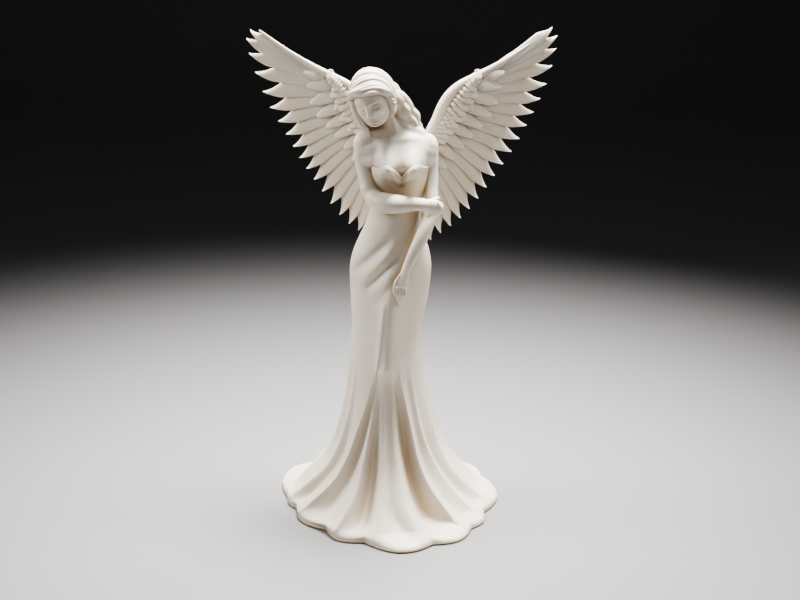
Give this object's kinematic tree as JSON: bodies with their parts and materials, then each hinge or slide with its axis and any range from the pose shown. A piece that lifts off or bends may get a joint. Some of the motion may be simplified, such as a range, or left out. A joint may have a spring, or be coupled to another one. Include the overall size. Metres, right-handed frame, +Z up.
{
  "type": "resin angel figurine",
  "caption": "Free-standing cast-resin statuette of a winged woman in a long gown with a fluted, scalloped hem, head bowed and arms folded across the waist.",
  "frame": {"origin": "middle of the flat underside of the felt pad", "axes": "+Z up through the figure, -Y the way the figure faces, +X towards the figure's left"},
  "size_m": [0.1962, 0.1488, 0.3009],
  "materials": {
    "resin": "warm ivory cast polyester resin with marble powder, satin",
    "pin_steel": "drawn wire, bright",
    "felt": "pressed wool felt, charcoal"
  },
  "bodies": {
    "root": {"gown": "resin", "bust": "resin", "head": "resin", "right_arm": "resin", "left_arm": "resin", "left_wing": "resin", "right_wing": "resin", "bust_dowel": "pin_steel", "neck_dowel": "pin_steel", "right_shoulder_pin": "pin_steel", "left_shoulder_pin": "pin_steel", "left_wing_pin_upper": "pin_steel", "left_wing_pin_lower": "pin_steel", "right_wing_pin_upper": "pin_steel", "right_wing_pin_lower": "pin_steel", "felt_pad": "felt"}
  },
  "joints": []
}
